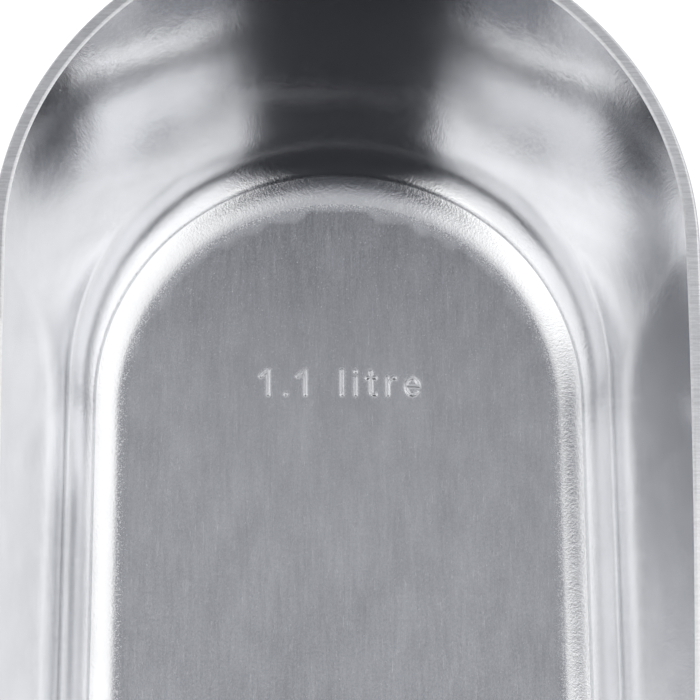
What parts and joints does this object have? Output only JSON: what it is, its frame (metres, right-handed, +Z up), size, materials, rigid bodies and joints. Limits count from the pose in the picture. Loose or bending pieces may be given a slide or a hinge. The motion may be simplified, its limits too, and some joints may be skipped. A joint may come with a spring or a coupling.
{
  "type": "ice scoop",
  "caption": "Hand scoop for ice: a flat-bottomed cast bowl with a round back, a shovel lip and a bolted tubular grip with a hanging ring.",
  "frame": {"origin": "on the flat base of the bowl, on the middle plane, halfway along the flat floor", "axes": "+Z up out of the open bowl, +Y towards the handle, -Y towards the lip, +X to the right seen from the lip"},
  "size_m": [0.1408, 0.3412, 0.0782],
  "materials": {
    "cast_aluminium": "cast, polished inside, ground rim",
    "turned_aluminium": "turned and brushed",
    "polished_aluminium": "polished",
    "stainless_steel": "bright drawn",
    "silicone": "matt"
  },
  "bodies": {
    "scoop": {"bowl": "cast_aluminium", "neck_seal": "silicone", "ferrule": "polished_aluminium", "grip": "turned_aluminium", "rear_seal": "silicone", "end_cap": "polished_aluminium", "spring_washer": "stainless_steel", "eye_nut": "stainless_steel", "tie_rod": "stainless_steel", "locating_pin": "stainless_steel"},
    "ring": {"hanging_ring": "stainless_steel"}
  },
  "joints": [
    {"name": "ring_swing", "type": "hinge", "parent": "scoop", "child": "ring", "pos_m": [0, 0.25207, 0.06934], "axis": [1, 0, 0], "range_deg": [-28, 215]}
  ]
}
